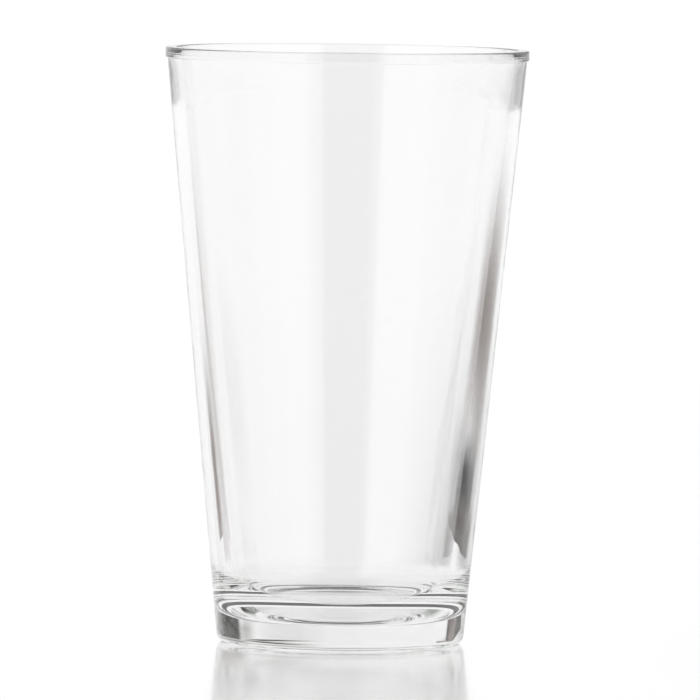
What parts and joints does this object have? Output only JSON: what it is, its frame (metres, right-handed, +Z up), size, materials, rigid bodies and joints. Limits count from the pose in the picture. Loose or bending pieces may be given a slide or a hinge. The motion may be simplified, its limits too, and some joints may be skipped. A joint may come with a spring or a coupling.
{
  "type": "mixing glass",
  "caption": "Tapered clear pressed glass with a beaded rim, a rounded inner bottom and a thick base, for stirring drinks or mating with a shaker tin.",
  "frame": {"origin": "centre of the circle the glass stands on, in the resting plane", "axes": "+Z up along the glass's axis from the base to the rim; the glass is round, so +X and +Y are alike"},
  "size_m": [0.089, 0.089, 0.1455],
  "materials": {
    "clear_glass": "clear colourless pressed soda-lime glass, fire polished"
  },
  "bodies": {
    "root": {"glass_body": "clear_glass"}
  },
  "joints": []
}
